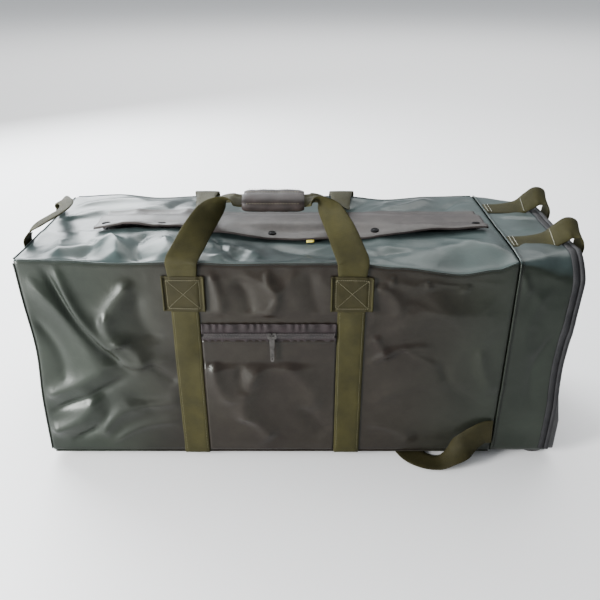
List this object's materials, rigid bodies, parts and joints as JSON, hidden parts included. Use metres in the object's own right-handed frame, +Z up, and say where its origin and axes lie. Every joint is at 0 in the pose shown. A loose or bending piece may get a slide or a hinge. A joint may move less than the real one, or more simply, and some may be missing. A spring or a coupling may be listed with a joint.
{
  "type": "rolling duffel bag",
  "caption": "Box-shaped coated-cloth duffel with webbing carry handles, zipped top under a studded storm flap, front pocket, end loops and wheels at one end.",
  "frame": {"origin": "middle of the bag's box, on the floor it lies on", "axes": "+X along the bag towards the wheeled end, +Y towards the back, away from the front pocket, +Z up"},
  "size_m": [0.9279, 0.3767, 0.4774],
  "materials": {
    "coated_cloth": "glossy coated cloth, near-black green-grey",
    "olive_webbing": "ribbed olive webbing",
    "brown_grip": "dark brown stitched sleeve",
    "zip_tape": "dark woven zip tape with plastic teeth",
    "dark_metal": "blackened metal",
    "black_plastic": "matt black moulded plastic",
    "stiffener_board": "plain dark board",
    "tyre_rubber": "black rubber",
    "grey_nylon": "grey nylon",
    "steel": "plain steel",
    "yellow_tab": "small blank yellow tab"
  },
  "bodies": {
    "bag": {"base_panel": "coated_cloth", "left_end_panel": "coated_cloth", "front_panel": "coated_cloth", "rear_panel": "coated_cloth", "top_front_panel": "coated_cloth", "top_rear_panel": "coated_cloth", "end_section": "coated_cloth", "right_end_panel": "coated_cloth", "seam_welt": "coated_cloth", "pocket_panel": "coated_cloth", "load_strap_left": "olive_webbing", "load_strap_right": "olive_webbing", "front_left_patch": "olive_webbing", "front_right_patch": "olive_webbing", "rear_left_patch": "olive_webbing", "rear_right_patch": "olive_webbing", "end_strap_front": "olive_webbing", "end_strap_rear": "olive_webbing", "bottom_strap": "olive_webbing", "main_zip_front": "zip_tape", "main_zip_rear": "zip_tape", "pocket_zip_lower": "zip_tape", "pocket_zip_upper": "zip_tape", "snap_stud_1": "dark_metal", "snap_stud_2": "dark_metal", "snap_stud_3": "dark_metal", "snap_stud_4": "dark_metal", "snap_stud_5": "dark_metal", "end_piping": "black_plastic", "left_handle_front_patch": "black_plastic", "left_handle_rear_patch": "black_plastic", "front_wheel_housing": "black_plastic", "front_foot": "black_plastic", "rear_wheel_housing": "black_plastic", "rear_foot": "black_plastic", "base_board": "stiffener_board", "front_axle": "steel", "rear_axle": "steel", "flap_tab": "yellow_tab"},
    "front_wheel": {"front_wheel_tyre": "tyre_rubber", "front_wheel_hub": "grey_nylon", "front_wheel_bush": "steel"},
    "rear_wheel": {"rear_wheel_tyre": "tyre_rubber", "rear_wheel_hub": "grey_nylon", "rear_wheel_bush": "steel"},
    "main_zip_slider_body": {"main_zip_slider": "dark_metal"},
    "main_zip_pull_body": {"main_zip_pull": "dark_metal"},
    "pocket_zip_slider_body": {"pocket_zip_slider": "dark_metal"},
    "pocket_zip_pull_body": {"pocket_zip_pull": "dark_metal"},
    "front_handle": {"front_handle_webbing": "olive_webbing", "front_handle_grip": "brown_grip"},
    "rear_handle": {"rear_handle_webbing": "olive_webbing", "rear_handle_grip": "brown_grip"},
    "flap": {"storm_flap": "coated_cloth", "snap_cap_1": "dark_metal", "snap_cap_2": "dark_metal", "snap_cap_3": "dark_metal", "snap_cap_4": "dark_metal", "snap_cap_5": "dark_metal"},
    "left_handle": {"left_handle_webbing": "olive_webbing"}
  },
  "joints": [
    {"name": "front_wheel_spin", "type": "hinge", "parent": "bag", "child": "front_wheel", "pos_m": [0.4219, -0.121, 0.03], "axis": [0, 1, 0], "continuous": true},
    {"name": "rear_wheel_spin", "type": "hinge", "parent": "bag", "child": "rear_wheel", "pos_m": [0.4219, 0.157, 0.03], "axis": [0, 1, 0], "continuous": true},
    {"name": "main_zip_slide", "type": "slide", "parent": "bag", "child": "main_zip_slider_body", "axis": [-1, 0, 0], "range_m": [0, 0.64]},
    {"name": "main_zip_pull_lift", "type": "hinge", "parent": "main_zip_slider_body", "child": "main_zip_pull_body", "pos_m": [0.3009, 0.018, 0.3935], "axis": [0, 1, 0], "range_deg": [0, 8]},
    {"name": "pocket_zip_slide", "type": "slide", "parent": "bag", "child": "pocket_zip_slider_body", "axis": [1, 0, 0], "range_m": [-0.105, 0.095]},
    {"name": "pocket_zip_pull_lift", "type": "hinge", "parent": "pocket_zip_slider_body", "child": "pocket_zip_pull_body", "pos_m": [-0.0521, -0.1567, 0.261], "axis": [-1, 0, 0], "range_deg": [-2, 100]},
    {"name": "front_handle_swing", "type": "hinge", "parent": "bag", "child": "front_handle", "pos_m": [-0.0571, -0.1515, 0.3915], "axis": [1, 0, 0], "range_deg": [0, 205]},
    {"name": "rear_handle_swing", "type": "hinge", "parent": "bag", "child": "rear_handle", "pos_m": [-0.0571, 0.1875, 0.3915], "axis": [-1, 0, 0], "range_deg": [0, 205]},
    {"name": "storm_flap_open", "type": "hinge", "parent": "bag", "child": "flap", "pos_m": [-0.0216, 0.062, 0.3922], "axis": [-1, 0, 0], "range_deg": [0, 150]},
    {"name": "left_handle_swing", "type": "hinge", "parent": "bag", "child": "left_handle", "pos_m": [-0.4606, 0.018, 0.3915], "axis": [0, -1, 0], "range_deg": [0, 165]}
  ],
  "couplings": [
    {"joint": "storm_flap_open", "follows": "rear_handle_swing", "ratio": 0.7}
  ]
}
